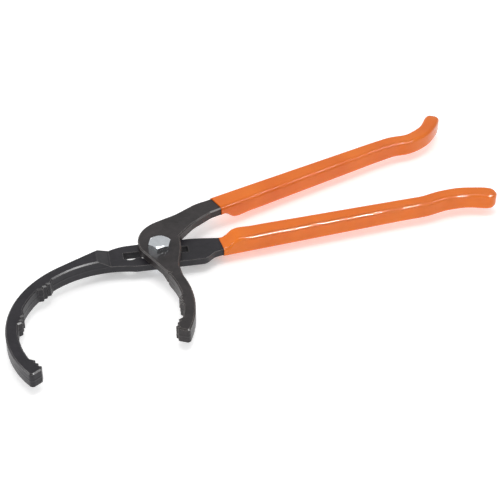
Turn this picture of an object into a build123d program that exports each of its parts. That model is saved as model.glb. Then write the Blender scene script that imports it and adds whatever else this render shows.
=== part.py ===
"""Slip-joint filter pliers, about 490 mm long.

Two forged levers cross at a half-lap joint. The long-jaw lever carries a slot with notches
along one side; the pivot bolt is keyed to the short-jaw lever, slides along the slot while its
flat faces the notches, and locks in a notch when the handles turn.

The origin is on the pivot axis, in the plane where the two levers meet. X runs along the slot
towards the handles, Y towards the short-jaw lever's handle, Z towards the bolt head.
Lengths are in millimetres and angles in degrees.
"""
from build123d import *
import math
import os

os.makedirs("parts", exist_ok=True)

# ---- levers ----
lever_thick = 15.5        # forged thickness of jaws and handles
lap_gap = 0.1             # oil gap between the two half-lap faces
edge_bevel = 1.1          # along the forged edges
lap_half_width = 16.4     # half width of the slotted lap
back_bulge = 0.5          # the lap's back edge stands out a little further
ramp_run = 12.5           # length of the slopes between lap and full thickness

# ---- slot, notches and pivot ----
shank_radius = 5.97       # round part of the bolt in the slot
slot_clearance = 0.08     # radial, between shank and slot
flat_offset = 3.3         # distance from the bolt's axis to its flat
flat_clearance = 0.1      # between the flat and the lands between the notches
notch_pitch = 14.0
notches_jaw_side = 2      # notches from the pivot's place at rest towards the jaws
notches_handle_side = 1
slot_start_room = 0.6     # plain slot past the first notch
slot_end_room = 7.0       # and past the last
eye_reach = 19.4          # from the pivot to the short lever's edge on the jaw side

# ---- bolt, washer and nut ----
head_flats = 19.0
head_height = 6.0
head_turn = 11.0          # turn of the hexagon about the pivot
thread_diameter = 10.0
thread_pitch = 1.5
thread_depth = 0.9
washer_outer = 24.0
washer_bore = 10.5
washer_thick = 1.6
shoulder_gap = 0.1        # the washer seats on the bolt's shoulder, clear of the lever
nut_flats = 17.0
nut_body_height = 4.2
nut_collar_height = 2.2   # round collar that holds the nylon locking ring
nut_turn = 13.0           # from the head's corners
thread_clearance = 0.05
insert_height = 1.6
insert_wall = 1.5
lip_thick = 0.5           # rolled lip over the ring
bolt_stand_out = 0.5      # bolt's end past the nut

# ---- long jaw ----
long_centre = (-49.0, -102.0)
long_bore_radius = 89.0   # smooth stretches of the gripping curve
long_tip_radius = 85.8    # circle through the tooth tips
long_outer_radius = 100.1
long_outer_start = 118.0  # where the straight back edge meets the outer curve
long_end = 215.3
long_tip_round = 3.5      # outer corner of the jaw's end
long_pads = ((134.2, 7.0, 5.4), (167.4, 8.6, 5.0), (209.7, 6.3, 5.6))

# ---- short jaw ----
short_centre = (-84.5, -79.0)
short_bore_radius = 94.0
short_tip_radius = 91.0
short_outer_radius = 104.6
short_neck_outer = 18.0
short_neck_inner = 24.0
short_end = -27.4
short_tip_round = 3.0
short_pads = ((-1.9, 4.8, 4.4), (-22.3, 3.8, 4.9))

# ---- teeth ----
tooth_arc = 5.0           # spacing of the teeth along the gripping curve
tooth_depth = 1.7
teeth_per_pad = 3

# ---- handles: centre lines in plan, from inside the joint to the centre of the round tip ----
long_handle_path = (
    (54.0, 3.0), (240.0, 23.8), (266.0, 26.2), (288.0, 32.8), (312.0, 33.8), (332.4, 28.2),
)
long_path_rounds = (60.0, 40.0, 26.0, 30.0)
long_handle_halves = (9.4, 6.8, 6.9)      # half widths of the steel: joint end, first bend, tip
short_handle_path = (
    (50.0, 54.2), (240.0, 129.4), (264.0, 138.2), (284.0, 139.4), (306.0, 153.8), (318.2, 173.8),
)
short_path_rounds = (60.0, 40.0, 30.0, 50.0)
short_handle_halves = (10.1, 7.2, 6.4)
tip_thick = 12.4          # steel thickness at the tip
taper_start = 50.0        # along the centre line, where the handles begin to thin

# ---- where each lap begins to thicken, from the pivot ----
jaw_step = 47.5           # long lever, towards its jaw
long_step = 62.0          # long lever, towards its handle
neck_step = 34.0          # short lever, towards its jaw
short_step = 85.5         # short lever, towards its handle
relief_clearance = 0.4    # under the eye, where it swings over the long jaw's slope
relief_turns = (-8, 0, 8, 16, 24, 32, 38)

# ---- grips ----
grip_wall = 1.2
grip_tip_thick = 16.8     # the vinyl gathers towards the tip, where the steel is thinner
grip_corner = 3.4         # rounding of the grip's section
long_grip_start = 59.0    # from the pivot
short_grip_start = 81.3

z_top = lever_thick / 2
z_low = -lever_thick / 2
z_lap_long = -lap_gap / 2
z_lap_short = lap_gap / 2
slot_radius = shank_radius + slot_clearance
z_shoulder = z_low - shoulder_gap
z_nut = z_shoulder - washer_thick
z_nut_body = z_nut - nut_body_height
z_nut_end = z_nut_body - nut_collar_height
z_bolt_end = z_nut_end - bolt_stand_out
pocket_radius = thread_diameter / 2 + thread_clearance + insert_wall
nut_collar_radius = pocket_radius + lip_thick
beyond = 400.0            # larger than the tool, for cutters


def polar(centre, radius, angle):
    a = math.radians(angle)
    return (centre[0] + radius * math.cos(a), centre[1] + radius * math.sin(a))


def plate(outline, low=z_low, high=z_top):
    """A flat piece between two heights from a closed outline in plan."""
    return extrude(Plane.XY.offset(low) * outline, amount=high - low)


def rounded_outline(corners):
    """A closed outline from corners, each (x, y, radius)."""
    points = [(x, y) for x, y, _ in corners]
    radii = [r for _, _, r in corners]
    return make_face(FilletPolyline(*points, radius=radii, close=True).edges())


def pad_outline(centre, bore, tips, pad):
    """One toothed pad that stands in from the gripping curve; pad is (middle, lead in, lead out)."""
    middle, lead_in, lead_out = pad
    step = math.degrees(tooth_arc / tips)
    root = bore + 2
    points = [polar(centre, root, middle - lead_in), polar(centre, bore, middle - lead_in)]
    for i in range(teeth_per_pad):
        angle = middle + (i - (teeth_per_pad - 1) / 2) * step
        if i:
            points.append(polar(centre, tips + tooth_depth, angle - step / 2))
        points.append(polar(centre, tips, angle))
    points += [polar(centre, bore, middle + lead_out), polar(centre, root, middle + lead_out)]
    return make_face(Polyline(*points, close=True).edges())


def jaw_outline(centre, bore, tips, outer, start, end, pads, tip_round):
    """A curved jaw: a band of a ring with toothed pads on its inner side and a rounded outer end."""
    steps = 6
    fan = [polar(centre, outer * 1.5, start + (end - start) * i / steps) for i in range(steps + 1)]
    sector = make_face(Polyline(centre, *fan, close=True).edges())
    ring = Pos(*centre) * (Circle(outer) - Circle(bore))
    jaw = ring & sector
    corner = jaw.vertices().sort_by_distance(Vector(*polar(centre, outer, end)))[0]
    jaw = fillet(corner, tip_round)
    for pad in pads:
        jaw += pad_outline(centre, bore, tips, pad)
    return jaw


class Handle:
    """A forged handle: a bar along a curved line in plan, which steps up from one lap's level."""

    def __init__(self, path, rounds, halves, step, upward):
        self.path = path
        self.rounds = rounds
        self.line = Wire(FilletPolyline(*path, radius=list(rounds)).edges())
        self.headings = [math.atan2(b[1] - a[1], b[0] - a[0]) for a, b in zip(path, path[1:])]
        self.turn = math.degrees(self.headings[0])
        self.start = path[0][0] * math.cos(self.headings[0]) + path[0][1] * math.sin(self.headings[0])
        self.waist = math.dist(path[0], path[1])
        self.halves = halves
        self.step = step - self.start
        self.upward = upward

    def half(self, s):
        root, middle, tip = self.halves
        if s < self.waist:
            return root + (middle - root) * s / self.waist
        return middle + (tip - middle) * min(1, (s - self.waist) / (self.line.length - self.waist))

    def point(self, s):
        """A point in plan at a distance along the centre line, or straight on past its end."""
        t = min(s / self.line.length, 1)
        return self.line @ t + self.line % t * max(s - self.line.length, 0)

    def outline(self):
        """The steel in plan, in straight runs and arcs, from inside the joint to the round tip."""
        left, right = [], []
        run = 0.0
        for i, (x, y) in enumerate(self.path):
            before = self.headings[max(i - 1, 0)]
            after = self.headings[min(i, len(self.headings) - 1)]
            run += math.dist(self.path[max(i - 1, 0)], self.path[i])
            half = self.half(run)
            across = (before + after) / 2 + math.pi / 2
            reach = half / math.cos((after - before) / 2)
            inside = math.copysign(half, after - before)
            last = i == len(self.path) - 1
            radius = self.rounds[i - 1] if 0 < i and not last else 0
            if last:
                x, y = x + half * math.cos(after), y + half * math.sin(after)
            for side, sign in ((left, 1), (right, -1)):
                corner = radius - sign * inside if radius else 0.99 * half * last
                shift = sign * reach
                side.append((x + shift * math.cos(across), y + shift * math.sin(across), corner))
        return rounded_outline(left + right[::-1])

    def faces(self, s):
        """Heights of the faces that the grip covers; the lap's side rises in an easy slope."""
        thin = max(0, min(1, (s - taper_start) / (self.line.length - taper_start)))
        level = z_top - (lever_thick - grip_tip_thick + 2 * grip_wall) / 2 * thin
        rise = max(0, min(1, (s - self.step) / ramp_run))
        lap_side = level * rise * rise * (3 - 2 * rise)
        return (-level, lap_side) if self.upward else (-lap_side, level)

    def section(self, s, wall, corner, shrink=1.0):
        ahead = self.line % min(s / self.line.length, 1)
        low, high = self.faces(s)
        wide = 2 * (self.half(s) + wall) * shrink
        tall = (high - low + 2 * wall) * (0.55 + 0.45 * shrink)
        centre = self.point(s) + Vector(0, 0, (low + high) / 2)
        plane = Plane(centre, x_dir=(-ahead.Y, ahead.X, 0), z_dir=ahead)
        return plane * RectangleRounded(wide, tall, min(corner, 0.42 * wide, 0.42 * tall))

    def skin(self, begin, wall, corner):
        """A solid that stands out from the steel by wall, from begin to past the round tip."""
        length = self.line.length
        ramp = [self.step + ramp_run * k / 4 for k in range(5)]
        stations = [begin] + [s for s in ramp if s > begin + 1]
        first = stations[-1]
        count = 20
        stations += [first + (length - first) * (k + 1) / count for k in range(count)]
        sections = [self.section(s, wall, corner) for s in stations]
        radius = self.half(length) + wall
        for angle in (22, 42, 58, 70, 80):
            a = math.radians(angle)
            sections.append(self.section(length + radius * math.sin(a), wall, corner, math.cos(a)))
        return loft(sections)


def wedge(turn, profile):
    """A prism right across the tool; profile is (distance from the pivot, height) along turn."""
    section = make_face(Polyline(*profile, close=True).edges())
    return Rot(0, 0, turn) * extrude(Plane.XZ * section, amount=beyond, both=True)


def step_wedge(turn, start, level, outer):
    """All that lies past the lap's level as far as start, and then a slope to the outer face."""
    far = math.copysign(beyond, outer)
    end = start + ramp_run
    return wedge(turn, [(-beyond, level), (start, level), (end, outer), (end, far), (-beyond, far)])


def forged(outline, handle):
    """A plate with a narrow bevel along its edges, and thinner towards the handle's tip."""
    solid = plate(outline + handle.outline())
    solid = chamfer(solid.edges().filter_by(Axis.Z, reverse=True), edge_bevel)
    near = handle.start + taper_start
    far = handle.start + handle.line.length + handle.half(handle.line.length) + 1
    drop = (lever_thick - tip_thick) / 2
    upper = wedge(handle.turn, [(near, z_top), (far, z_top - drop), (far, z_top + 1), (near, z_top + 1)])
    lower = wedge(handle.turn, [(near, z_low), (far, z_low + drop), (far, z_low - 1), (near, z_low - 1)])
    return solid - upper - lower


def key_shape(radius, flat):
    """A round with one flat, which faces the notches at rest."""
    return Circle(radius) & Pos(0, radius - flat / 2 - radius / 2) * Rectangle(3 * radius, radius + flat)


# ---- long-jaw lever ----
def slot_outline():
    """The straight channel and the notches that open from its lower side."""
    first = -notches_jaw_side * notch_pitch
    last = notches_handle_side * notch_pitch
    low, high = -flat_offset - flat_clearance, slot_radius
    left, right = first - slot_radius - slot_start_room, last + slot_radius + slot_end_room
    outline = Pos((left + right) / 2, (low + high) / 2) * Rectangle(right - left, high - low)
    for i in range(-notches_jaw_side, notches_handle_side + 1):
        outline += Pos(i * notch_pitch, 0) * Circle(slot_radius)
    return outline


def long_outline():
    meet = polar(long_centre, long_outer_radius, long_outer_start)
    slope = -1 / math.tan(math.radians(long_outer_start))
    back = lap_half_width + back_bulge
    back_x = meet[0] + (back - meet[1]) / slope
    arm = rounded_outline(
        [
            (*meet, 0),
            (back_x, back, 45),
            (34, back, 60),
            (61, 12.8, 20),
            (68, 10.6, 0),
            (68, -2.6, 0),
            (61, -5.6, 10),
            (51, -8.2, 10),
            (42, -lap_half_width, 9),
            (-60, -lap_half_width, 0),
            (-96, -34, 0),
        ]
    )
    arm -= Pos(*long_centre) * Circle(long_bore_radius)
    jaw = jaw_outline(
        long_centre, long_bore_radius, long_tip_radius, long_outer_radius,
        long_outer_start, long_end, long_pads, long_tip_round,
    )
    return arm + jaw


def long_lever(handle):
    lever = forged(long_outline(), handle)
    recess = step_wedge(180, jaw_step, z_lap_long, z_top)
    recess &= step_wedge(handle.turn, long_step, z_lap_long, z_top)
    return lever - recess - plate(slot_outline(), z_low - 1, z_top)


# ---- short-jaw lever ----
def short_outline():
    inner = polar(short_centre, short_bore_radius, short_neck_inner)
    outer = polar(short_centre, short_outer_radius, short_neck_outer)
    jaw = jaw_outline(
        short_centre, short_bore_radius, short_tip_radius, short_outer_radius,
        short_neck_inner - 1, short_end, short_pads, short_tip_round,
    )
    neck = rounded_outline(
        [
            (*inner, 0),
            (-eye_reach, 0.8, 26),
            (-eye_reach, 31.4, 34),
            (21.6, 49.2, 40),
            (43, 63.0, 40),
            (66, 70.6, 10),
            (79, 71.4, 0),
            (84, 60.5, 0),
            (76, 55.8, 5),
            (60, 48.6, 45),
            (36.4, 31.4, 40),
            (20.8, 13.8, 2.5),
            (19.8, -5, 40),
            (13.8, -30, 25),
            (*outer, 0),
        ]
    )
    return neck + jaw


def eye_relief():
    """What the long jaw's slope sweeps under the eye as the jaws open with the pivot in the first notch."""
    start = notches_jaw_side * notch_pitch - jaw_step + relief_clearance
    far = start - 2 * lap_half_width
    rise = z_top * (start - far) / ramp_run
    section = make_face(Polyline((start, -1), (start, 0), (far, rise), (far, -1), close=True).edges())
    slope = extrude(Plane.XZ * section, amount=lap_half_width + back_bulge + relief_clearance, both=True)
    relief = Rot(0, 0, -relief_turns[0]) * slope
    for turn in relief_turns[1:]:
        relief += Rot(0, 0, -turn) * slope
    return relief


def short_lever(handle):
    lever = forged(short_outline(), handle)
    recess = step_wedge(-90, neck_step, z_lap_short, z_low)
    recess &= step_wedge(handle.turn, short_step, z_lap_short, z_low)
    return lever - recess - eye_relief() - plate(key_shape(slot_radius, flat_offset + flat_clearance))


# ---- dipped grips ----
def grip(lever, handle, start):
    """A vinyl skin of even thickness over a handle, closed over its tip."""
    return handle.skin(start - handle.start, grip_wall, grip_corner) - lever


# ---- bolt, washer and nut ----
def hexagon(flats, low, high, bevel_low, bevel_high):
    """A hexagonal prism with the corners turned off at 30 degrees at one or both ends."""
    corner = flats / math.sqrt(3) + 1
    face = flats * 0.45
    drop = (corner - face) * math.tan(math.radians(30))
    profile = [(0, low), (face, low), (corner, low + drop)] if bevel_low else [(0, low), (corner, low)]
    profile += [(corner, high - drop), (face, high), (0, high)] if bevel_high else [(corner, high), (0, high)]
    turned = revolve(Plane.XZ * make_face(Polyline(*profile, close=True).edges()), Axis.Z)
    prism = plate(RegularPolygon(flats / 2, 6, major_radius=False), low, high)
    return prism & turned


def ring(outer, inner, low, high):
    return plate(Circle(outer) - Circle(inner), low, high)


def bolt():
    head = Rot(0, 0, head_turn) * hexagon(head_flats, z_top, z_top + head_height, False, True)
    shank = plate(key_shape(shank_radius, flat_offset), z_shoulder, z_top)
    radius = thread_diameter / 2
    turns = int((z_shoulder - z_bolt_end) / thread_pitch)
    profile = [(0, z_shoulder), (radius, z_shoulder)]
    for i in range(turns):
        top = z_shoulder - i * thread_pitch
        profile += [(radius, top - thread_pitch * 0.4), (radius - thread_depth, top - thread_pitch * 0.7)]
        profile += [(radius, top - thread_pitch)]
    profile += [(radius, z_bolt_end + thread_depth), (radius - thread_depth, z_bolt_end), (0, z_bolt_end)]
    thread = revolve(Plane.XZ * make_face(Polyline(*profile, close=True).edges()), Axis.Z)
    return head + shank + thread


def nut():
    body = Rot(0, 0, head_turn + nut_turn) * hexagon(nut_flats, z_nut_body, z_nut, True, True)
    collar = ring(nut_collar_radius, thread_diameter / 2 + thread_clearance, z_nut_end, z_nut_body + 1)
    body -= plate(Circle(thread_diameter / 2 + thread_clearance), z_nut_end - 1, z_nut + 1)
    pocket = plate(Circle(pocket_radius), z_nut_end + lip_thick, z_nut_end + lip_thick + insert_height)
    mouth = plate(Circle(pocket_radius - lip_thick), z_nut_end - 1, z_nut_end + lip_thick + insert_height)
    return body + collar - pocket - mouth


def main():
    long_handle = Handle(long_handle_path, long_path_rounds, long_handle_halves, long_step, True)
    short_handle = Handle(short_handle_path, short_path_rounds, short_handle_halves, short_step, False)
    long_steel = long_lever(long_handle)
    short_steel = short_lever(short_handle)
    nodes = {
        "long_jaw_lever": long_steel,
        "short_jaw_lever": short_steel,
        "long_jaw_grip": grip(long_steel, long_handle, long_grip_start),
        "short_jaw_grip": grip(short_steel, short_handle, short_grip_start),
        "pivot_bolt": bolt(),
        "flat_washer": ring(washer_outer / 2, washer_bore / 2, z_nut, z_shoulder),
        "lock_nut": nut(),
        "nut_insert": ring(
            pocket_radius, thread_diameter / 2 + thread_clearance,
            z_nut_end + lip_thick, z_nut_end + lip_thick + insert_height,
        ),
    }
    for name, solid in nodes.items():
        export_step(solid, f"parts/{name}.step")


main()
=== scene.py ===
"""Slip-joint filter pliers: two black forged levers with orange dipped grips on a zinc-plated bolt."""
import math

import bpy
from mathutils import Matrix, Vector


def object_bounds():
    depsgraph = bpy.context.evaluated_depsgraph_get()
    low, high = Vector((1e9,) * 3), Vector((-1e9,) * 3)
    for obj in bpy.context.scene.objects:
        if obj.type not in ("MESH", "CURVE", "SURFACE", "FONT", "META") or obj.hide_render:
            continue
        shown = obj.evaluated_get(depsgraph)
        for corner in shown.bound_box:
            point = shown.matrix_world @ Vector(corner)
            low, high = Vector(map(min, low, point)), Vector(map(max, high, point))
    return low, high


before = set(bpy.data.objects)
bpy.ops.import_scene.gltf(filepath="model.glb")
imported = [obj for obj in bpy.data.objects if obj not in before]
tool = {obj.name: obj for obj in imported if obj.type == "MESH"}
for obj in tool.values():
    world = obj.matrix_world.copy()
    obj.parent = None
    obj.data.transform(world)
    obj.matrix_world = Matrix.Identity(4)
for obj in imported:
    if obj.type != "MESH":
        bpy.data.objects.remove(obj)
cad_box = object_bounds()


# ---- Camera and studio ----
# The tool lies in front of the camera with its slot turned a little away. The table is matt white
# card with a little light from below, in a white room, with one big soft box overhead, one low at
# the left for the forging's bevels, and two narrow ones for the glints along the grips.
look_at = (0.08538, -0.00421, -0.00575)
camera_elevation = math.radians(36.5)
camera_turn = math.radians(-11.0)
camera_distance = 1.33
camera_data = bpy.data.cameras.new("camera")
camera_data.lens = 100.8
camera_data.sensor_width = 36.0
camera_data.clip_end = 20.0
camera = bpy.data.objects.new("camera", camera_data)
ground_distance = camera_distance * math.cos(camera_elevation)
camera.location = (
    look_at[0] + ground_distance * math.sin(camera_turn),
    look_at[1] - ground_distance * math.cos(camera_turn),
    look_at[2] + camera_distance * math.sin(camera_elevation),
)
camera.rotation_euler = (math.pi / 2 - camera_elevation, 0.0, camera_turn)
bpy.context.scene.collection.objects.link(camera)
bpy.context.scene.camera = camera
bpy.context.scene.view_settings.view_transform = "Standard"


def shader_start(name):
    """A new material with its Principled shader; gives back the material, its nodes, links and shader."""
    material = bpy.data.materials.new(name)
    material.use_nodes = True
    tree = material.node_tree
    shader = tree.nodes["Principled BSDF"]
    return material, tree.nodes, tree.links, shader


def softbox(name, place, aim, size, power):
    """A rectangular studio light at a place, turned towards a point."""
    data = bpy.data.lights.new(name, "AREA")
    data.shape = "RECTANGLE"
    data.size, data.size_y = size
    data.energy = power
    lamp = bpy.data.objects.new(name, data)
    lamp.location = place
    towards = [a - p for a, p in zip(aim, place)]
    lamp.rotation_euler = Vector(towards).to_track_quat("-Z", "Y").to_euler()
    bpy.context.scene.collection.objects.link(lamp)
    return lamp


table_gap = 0.0002
table_size = 12.0
table_top = cad_box[0][2] - table_gap
bpy.ops.object.select_all(action="DESELECT")
bpy.ops.mesh.primitive_plane_add(size=table_size, location=(0.0, 0.0, table_top))
table = bpy.context.object
table.name = "table"
card, _, _, card_shader = shader_start("white_card")
card_shader.inputs["Base Color"].default_value = (0.93, 0.93, 0.93, 1.0)
card_shader.inputs["Roughness"].default_value = 0.9
card_shader.inputs["Specular IOR Level"].default_value = 0.1
card_shader.inputs["Emission Color"].default_value = (1.0, 1.0, 1.0, 1.0)
card_shader.inputs["Emission Strength"].default_value = 0.36
table.data.materials.append(card)

room = bpy.data.worlds.new("white_room")
room.use_nodes = True
room.node_tree.nodes["Background"].inputs["Color"].default_value = (1.0, 1.0, 1.0, 1.0)
room.node_tree.nodes["Background"].inputs["Strength"].default_value = 0.6
bpy.context.scene.world = room

# The two glints light gloss only, and they and the low light do not bounce, which keeps noise off
# the steel beside the bright bolt.
light_aim = (0.08, 0.0, 0.0)
glint_width = 0.08
softbox("overhead", (0.1, -0.05, 1.7), light_aim, size=(1.0, 0.8), power=9.5)
low_left = softbox("low_left", (-1.45, 0.1, 0.75), light_aim, size=(0.6, 0.4), power=7.0)
low_left.data.cycles.max_bounces = 0
for name, place, length, power in (
    ("front_glint", (0.74, -0.9, 1.22), 0.36, 32.0),
    ("right_glint", (1.2, -0.43, 1.09), 0.5, 5.0),
):
    glint = softbox(name, place, light_aim, size=(length, glint_width), power=power)
    glint.visible_diffuse = False
    glint.data.cycles.max_bounces = 0


# ---- Forged levers ----
# Two drop forgings in carbon steel, tumbled, hardened and blackened in a hot oxide bath. The black
# is thin, so edges and rubbed spots show grey steel, and that lighter edge colour is also a painted
# highlight on the bevels. The dies leave a fine grain on the skin.
def blackened_steel(name, dark, light, worn_and_highlight, seed):
    material, nodes, links, shader = shader_start(name)
    coordinates = nodes.new("ShaderNodeTexCoord")

    clouds = nodes.new("ShaderNodeTexNoise")
    clouds.noise_dimensions = "4D"
    clouds.inputs["W"].default_value = seed
    clouds.inputs["Scale"].default_value = 60.0
    clouds.inputs["Detail"].default_value = 6.0
    clouds.inputs["Roughness"].default_value = 0.8
    links.new(coordinates.outputs["Object"], clouds.inputs["Vector"])
    tone = nodes.new("ShaderNodeValToRGB")
    tone.color_ramp.elements[0].position = 0.34
    tone.color_ramp.elements[0].color = (*dark, 1.0)
    tone.color_ramp.elements[1].position = 0.68
    tone.color_ramp.elements[1].color = (*light, 1.0)
    links.new(clouds.outputs["Fac"], tone.inputs["Fac"])

    # A lighter colour is painted along the edges. It is partly grey steel rubbed through the black and
    # partly a painted highlight on the bevels.
    round_edge = nodes.new("ShaderNodeBevel")
    round_edge.samples = 6
    round_edge.inputs["Radius"].default_value = 0.0007
    flat = nodes.new("ShaderNodeNewGeometry")
    bend = nodes.new("ShaderNodeVectorMath")
    bend.operation = "DOT_PRODUCT"
    links.new(round_edge.outputs["Normal"], bend.inputs[0])
    links.new(flat.outputs["Normal"], bend.inputs[1])
    edge = nodes.new("ShaderNodeMapRange")
    edge.inputs["From Min"].default_value = 0.99
    edge.inputs["From Max"].default_value = 0.92
    links.new(bend.outputs["Value"], edge.inputs["Value"])
    rubs = nodes.new("ShaderNodeTexNoise")
    rubs.inputs["Scale"].default_value = 160.0
    rubs.inputs["Detail"].default_value = 4.0
    links.new(coordinates.outputs["Object"], rubs.inputs["Vector"])
    rub_mask = nodes.new("ShaderNodeMapRange")
    rub_mask.inputs["From Min"].default_value = 0.25
    rub_mask.inputs["From Max"].default_value = 0.6
    rub_mask.inputs["To Min"].default_value = 0.2
    rub_mask.inputs["To Max"].default_value = 0.75
    links.new(rubs.outputs["Fac"], rub_mask.inputs["Value"])
    wear_and_highlight = nodes.new("ShaderNodeMath")
    wear_and_highlight.operation = "MULTIPLY"
    links.new(edge.outputs["Result"], wear_and_highlight.inputs[0])
    links.new(rub_mask.outputs["Result"], wear_and_highlight.inputs[1])
    # Sockets of a colour mix: 0 is the factor, 6 and 7 are the two colours, and output 2 the result.
    skin = nodes.new("ShaderNodeMix")
    skin.data_type = "RGBA"
    skin.inputs[7].default_value = (*worn_and_highlight, 1.0)
    links.new(wear_and_highlight.outputs["Value"], skin.inputs[0])
    links.new(tone.outputs["Color"], skin.inputs[6])
    links.new(skin.outputs[2], shader.inputs["Base Color"])

    sheen = nodes.new("ShaderNodeMapRange")
    sheen.inputs["To Min"].default_value = 0.28
    sheen.inputs["To Max"].default_value = 0.46
    links.new(clouds.outputs["Fac"], sheen.inputs["Value"])
    links.new(sheen.outputs["Result"], shader.inputs["Roughness"])
    shader.inputs["Specular IOR Level"].default_value = 0.42

    grain = nodes.new("ShaderNodeTexNoise")
    grain.inputs["Scale"].default_value = 900.0
    grain.inputs["Detail"].default_value = 3.0
    links.new(coordinates.outputs["Object"], grain.inputs["Vector"])
    dents = nodes.new("ShaderNodeTexNoise")
    dents.inputs["Scale"].default_value = 120.0
    dents.inputs["Detail"].default_value = 2.0
    links.new(coordinates.outputs["Object"], dents.inputs["Vector"])
    grain_share = 0.35
    relief = nodes.new("ShaderNodeMath")
    relief.operation = "MULTIPLY_ADD"
    relief.inputs[1].default_value = grain_share
    links.new(grain.outputs["Fac"], relief.inputs[0])
    links.new(dents.outputs["Fac"], relief.inputs[2])
    # The dies are taken to have met at z = 0, so a low ridge runs round the forging's sides there.
    ridge_half_width = 0.0004
    ridge_foot = 0.0012
    ridge_height = 1.3
    split = nodes.new("ShaderNodeSeparateXYZ")
    links.new(coordinates.outputs["Object"], split.inputs["Vector"])
    die_distance = nodes.new("ShaderNodeMath")
    die_distance.operation = "ABSOLUTE"
    links.new(split.outputs["Z"], die_distance.inputs[0])
    flash_line = nodes.new("ShaderNodeMapRange")
    flash_line.interpolation_type = "SMOOTHSTEP"
    flash_line.inputs["From Min"].default_value = ridge_half_width
    flash_line.inputs["From Max"].default_value = ridge_foot
    flash_line.inputs["To Min"].default_value = ridge_height
    flash_line.inputs["To Max"].default_value = 0.0
    links.new(die_distance.outputs["Value"], flash_line.inputs["Value"])
    skin_height = nodes.new("ShaderNodeMath")
    links.new(relief.outputs["Value"], skin_height.inputs[0])
    links.new(flash_line.outputs["Result"], skin_height.inputs[1])
    bump = nodes.new("ShaderNodeBump")
    bump.inputs["Strength"].default_value = 0.4
    bump.inputs["Distance"].default_value = 0.0004
    links.new(skin_height.outputs["Value"], bump.inputs["Height"])
    links.new(bump.outputs["Normal"], shader.inputs["Normal"])
    return material


# The third colour is the edge colour: worn grey steel together with a painted bevel highlight.
long_black = blackened_steel(
    "blackened_steel_long", (0.005, 0.0043, 0.007), (0.02, 0.0178, 0.0235), (0.25, 0.235, 0.225), 1.0
)
short_black = blackened_steel(
    "blackened_steel_short", (0.011, 0.0088, 0.0092), (0.037, 0.031, 0.032), (0.34, 0.31, 0.285), 4.0
)
tool["long_jaw_lever"].material_slots[0].material = long_black
tool["short_jaw_lever"].material_slots[0].material = short_black


# ---- Dipped grips ----
# Each warm handle is dipped in liquid orange vinyl and cured, which leaves a thin glossy skin with
# soft waves where it ran, over the forging's edges.
def dipped_vinyl(name, deep, bright):
    material, nodes, links, shader = shader_start(name)
    coordinates = nodes.new("ShaderNodeTexCoord")
    clouds = nodes.new("ShaderNodeTexNoise")
    clouds.inputs["Scale"].default_value = 22.0
    clouds.inputs["Detail"].default_value = 3.0
    links.new(coordinates.outputs["Object"], clouds.inputs["Vector"])
    tone = nodes.new("ShaderNodeValToRGB")
    tone.color_ramp.elements[0].position = 0.3
    tone.color_ramp.elements[0].color = (*deep, 1.0)
    tone.color_ramp.elements[1].position = 0.7
    tone.color_ramp.elements[1].color = (*bright, 1.0)
    links.new(clouds.outputs["Fac"], tone.inputs["Fac"])
    links.new(tone.outputs["Color"], shader.inputs["Base Color"])
    shader.inputs["Roughness"].default_value = 0.5
    shader.inputs["Specular IOR Level"].default_value = 0.05
    shader.inputs["Coat Weight"].default_value = 0.85
    shader.inputs["Coat Roughness"].default_value = 0.045

    waves = nodes.new("ShaderNodeTexNoise")
    waves.inputs["Scale"].default_value = 55.0
    waves.inputs["Detail"].default_value = 1.0
    links.new(coordinates.outputs["Object"], waves.inputs["Vector"])
    bump = nodes.new("ShaderNodeBump")
    bump.inputs["Strength"].default_value = 0.25
    bump.inputs["Distance"].default_value = 0.0006
    links.new(waves.outputs["Fac"], bump.inputs["Height"])
    links.new(bump.outputs["Normal"], shader.inputs["Normal"])
    return material


vinyl = dipped_vinyl("orange_dipped_vinyl", (0.76, 0.142, 0.002), (0.84, 0.182, 0.005))
tool["long_jaw_grip"].material_slots[0].material = vinyl
tool["short_jaw_grip"].material_slots[0].material = vinyl


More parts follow.
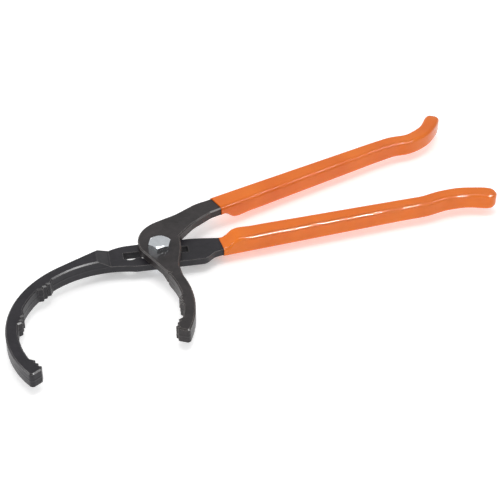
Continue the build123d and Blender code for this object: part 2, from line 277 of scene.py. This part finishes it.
# ---- Pivot bolt, washer and lock nut ----
# Cold-formed steel with a bright zinc plate, which shows faint cloudy patches. The bolt passes
# through both levers, and the nut holds the washer against the bolt's shoulder.
def zinc_plate(name, tint, seed):
    material, nodes, links, shader = shader_start(name)
    coordinates = nodes.new("ShaderNodeTexCoord")
    dull_share = 0.9
    clouds = nodes.new("ShaderNodeTexNoise")
    clouds.noise_dimensions = "4D"
    clouds.inputs["W"].default_value = seed
    clouds.inputs["Scale"].default_value = 220.0
    clouds.inputs["Detail"].default_value = 5.0
    links.new(coordinates.outputs["Object"], clouds.inputs["Vector"])
    tone = nodes.new("ShaderNodeValToRGB")
    tone.color_ramp.elements[0].position = 0.3
    tone.color_ramp.elements[0].color = (*[c * dull_share for c in tint], 1.0)
    tone.color_ramp.elements[1].position = 0.7
    tone.color_ramp.elements[1].color = (*tint, 1.0)
    links.new(clouds.outputs["Fac"], tone.inputs["Fac"])
    links.new(tone.outputs["Color"], shader.inputs["Base Color"])
    shader.inputs["Metallic"].default_value = 1.0
    sheen = nodes.new("ShaderNodeMapRange")
    sheen.inputs["To Min"].default_value = 0.14
    sheen.inputs["To Max"].default_value = 0.26
    links.new(clouds.outputs["Fac"], sheen.inputs["Value"])
    links.new(sheen.outputs["Result"], shader.inputs["Roughness"])
    bump = nodes.new("ShaderNodeBump")
    bump.inputs["Strength"].default_value = 0.06
    bump.inputs["Distance"].default_value = 0.0001
    links.new(clouds.outputs["Fac"], bump.inputs["Height"])
    links.new(bump.outputs["Normal"], shader.inputs["Normal"])
    return material


zinc = zinc_plate("bright_zinc_plate", (0.82, 0.86, 0.9), 2.0)
for node in ("pivot_bolt", "flat_washer", "lock_nut"):
    tool[node].material_slots[0].material = zinc


# ---- Nylon locking ring ----
# A ring of off-white natural nylon that sits in the nut's round collar, where a rolled lip holds
# it. It grips the bolt's thread, so that the nut stays where it is set and the levers turn freely.
nylon, nylon_nodes, nylon_links, nylon_shader = shader_start("natural_nylon")
nylon_place = nylon_nodes.new("ShaderNodeTexCoord")
nylon_cloud = nylon_nodes.new("ShaderNodeTexNoise")
nylon_cloud.inputs["Scale"].default_value = 300.0
nylon_links.new(nylon_place.outputs["Object"], nylon_cloud.inputs["Vector"])
nylon_tone = nylon_nodes.new("ShaderNodeValToRGB")
nylon_tone.color_ramp.elements[0].color = (0.7, 0.71, 0.66, 1.0)
nylon_tone.color_ramp.elements[1].color = (0.86, 0.87, 0.82, 1.0)
nylon_links.new(nylon_cloud.outputs["Fac"], nylon_tone.inputs["Fac"])
nylon_links.new(nylon_tone.outputs["Color"], nylon_shader.inputs["Base Color"])
nylon_shader.inputs["Roughness"].default_value = 0.42
nylon_shader.inputs["Subsurface Weight"].default_value = 0.2
nylon_shader.inputs["Subsurface Scale"].default_value = 0.001
tool["nut_insert"].material_slots[0].material = nylon
